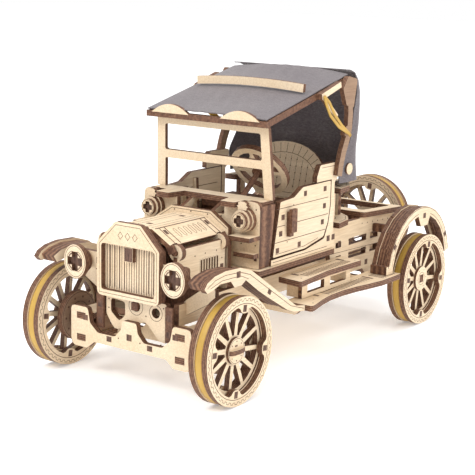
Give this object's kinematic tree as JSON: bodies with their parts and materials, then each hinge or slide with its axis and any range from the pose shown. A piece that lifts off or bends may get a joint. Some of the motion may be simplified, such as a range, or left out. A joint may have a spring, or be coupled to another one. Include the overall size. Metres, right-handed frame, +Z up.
{
  "type": "wooden vintage car puzzle",
  "caption": "Laser-cut plywood model of a vintage two-seat car with spoked wheels, rubber-band tyres, opening doors and hood, steering and a folding fabric top.",
  "frame": {"origin": "On the floor, under the middle of the model's bounding box.", "axes": "+X is the car's left side, -Y is its front, +Z is up."},
  "size_m": [0.1554, 0.3322, 0.1992],
  "materials": {
    "plywood": "pale laser-cut birch plywood with dark burnt edges",
    "rubber_band": "amber rubber band",
    "canopy_fabric": "matt dark grey cotton"
  },
  "bodies": {
    "chassis": {"body_floor": "plywood", "cowl_panel": "plywood", "engine_block": "plywood", "engine_front_plate": "plywood", "front_axle_beam": "plywood", "front_axle_frame": "plywood", "chassis_frame": "plywood", "hood_rear_plate": "plywood", "hood_top": "plywood", "radiator_grille": "plywood", "radiator_shell": "plywood", "seat_back": "plywood", "seat_base": "plywood", "seat_tub": "plywood", "spare_bracket": "plywood", "spare_wheel": "plywood", "trunk_box": "plywood", "trunk_rim": "plywood", "windshield_frame": "plywood", "body_side_left": "plywood", "cowl_lamp_left": "plywood", "front_fender_left": "plywood", "headlight_left": "plywood", "rear_fender_left": "plywood", "running_board_left": "plywood", "step_left": "plywood", "body_side_right": "plywood", "cowl_lamp_right": "plywood", "front_fender_right": "plywood", "headlight_right": "plywood", "rear_fender_right": "plywood", "running_board_right": "plywood", "step_right": "plywood"},
    "steering": {"steering_wheel": "plywood"},
    "knuckle_left": {"steering_knuckle_left": "plywood"},
    "knuckle_right": {"steering_knuckle_right": "plywood"},
    "front_wheel_left": {"front_wheel_left": "plywood", "front_tyre_band_left": "rubber_band"},
    "front_wheel_right": {"front_wheel_right": "plywood", "front_tyre_band_right": "rubber_band"},
    "tie_rod": {"tie_rod": "plywood"},
    "rear_axle": {"rear_axle": "plywood", "rear_wheel_left": "plywood", "rear_wheel_right": "plywood", "rear_tyre_band_left": "rubber_band", "rear_tyre_band_right": "rubber_band"},
    "motor": {"motor_gear": "plywood"},
    "crank": {"crank_shaft": "plywood"},
    "hood_left": {"hood_side_left": "plywood"},
    "hood_right": {"hood_side_right": "plywood"},
    "door_left": {"door_left": "plywood"},
    "door_right": {"door_right": "plywood"},
    "top": {"top_pillar_left": "plywood", "top_pillar_right": "plywood", "rear_bow": "plywood", "canopy_curtain": "canopy_fabric"},
    "roof": {"roof_frame": "plywood", "mid_bow": "plywood", "canopy_roof": "canopy_fabric"}
  },
  "joints": [
    {"name": "steering_turn", "type": "hinge", "parent": "chassis", "child": "steering", "pos_m": [0.017, -0.02736, 0.1305], "axis": [0, 0.788, 0.6157], "range_deg": [-72, 72]},
    {"name": "steer_left", "type": "hinge", "parent": "chassis", "child": "knuckle_left", "pos_m": [0.041, -0.13136, 0.03478], "axis": [0, 0, 1], "range_deg": [-16.5, 16.5]},
    {"name": "steer_right", "type": "hinge", "parent": "chassis", "child": "knuckle_right", "pos_m": [-0.041, -0.13136, 0.03478], "axis": [0, 0, 1], "range_deg": [-16.5, 16.5]},
    {"name": "tie_slide", "type": "slide", "parent": "chassis", "child": "tie_rod", "axis": [1, 0, 0], "range_m": [-0.0066, 0.0066]},
    {"name": "front_left_spin", "type": "hinge", "parent": "knuckle_left", "child": "front_wheel_left", "pos_m": [0.0763, -0.13136, 0.03478], "axis": [1, 0, 0], "continuous": true},
    {"name": "front_right_spin", "type": "hinge", "parent": "knuckle_right", "child": "front_wheel_right", "pos_m": [-0.0763, -0.13136, 0.03478], "axis": [1, 0, 0], "continuous": true},
    {"name": "rear_axle_spin", "type": "hinge", "parent": "chassis", "child": "rear_axle", "pos_m": [0, 0.11594, 0.03478], "axis": [1, 0, 0], "continuous": true},
    {"name": "motor_spin", "type": "hinge", "parent": "chassis", "child": "motor", "pos_m": [0, 0.09876, 0.05196], "axis": [1, 0, 0], "continuous": true},
    {"name": "crank_spin", "type": "hinge", "parent": "chassis", "child": "crank", "pos_m": [0, -0.14076, 0.0526], "axis": [0, 1, 0], "continuous": true},
    {"name": "hood_left_lift", "type": "hinge", "parent": "chassis", "child": "hood_left", "pos_m": [0.0295, -0.11136, 0.0915], "axis": [0, -1, 0], "range_deg": [0, 85]},
    {"name": "hood_right_lift", "type": "hinge", "parent": "chassis", "child": "hood_right", "pos_m": [-0.0295, -0.11136, 0.0915], "axis": [0, 1, 0], "range_deg": [0, 85]},
    {"name": "door_left_swing", "type": "hinge", "parent": "chassis", "child": "door_left", "pos_m": [0.05, 0.01364, 0.1], "axis": [0, 0, 1], "range_deg": [0, 60]},
    {"name": "door_right_swing", "type": "hinge", "parent": "chassis", "child": "door_right", "pos_m": [-0.05, 0.01364, 0.1], "axis": [0, 0, -1], "range_deg": [0, 60]},
    {"name": "top_fold", "type": "hinge", "parent": "chassis", "child": "top", "pos_m": [0, 0.01864, 0.127], "axis": [-1, 0, 0], "range_deg": [0, 50], "deforming": ["canopy_curtain"]},
    {"name": "roof_fold", "type": "hinge", "parent": "top", "child": "roof", "pos_m": [0, 0.03224, 0.198], "axis": [-1, 0, 0], "range_deg": [0, 42]}
  ],
  "couplings": [
    {"joint": "steer_left", "follows": "steering_turn", "ratio": 0.22222},
    {"joint": "steer_right", "follows": "steering_turn", "ratio": 0.22222},
    {"joint": "tie_slide", "follows": "steering_turn", "m_per_rad": -0.0051111},
    {"joint": "motor_spin", "follows": "rear_axle_spin", "ratio": -0.33333},
    {"joint": "roof_fold", "follows": "top_fold", "ratio": 0.8}
  ]
}
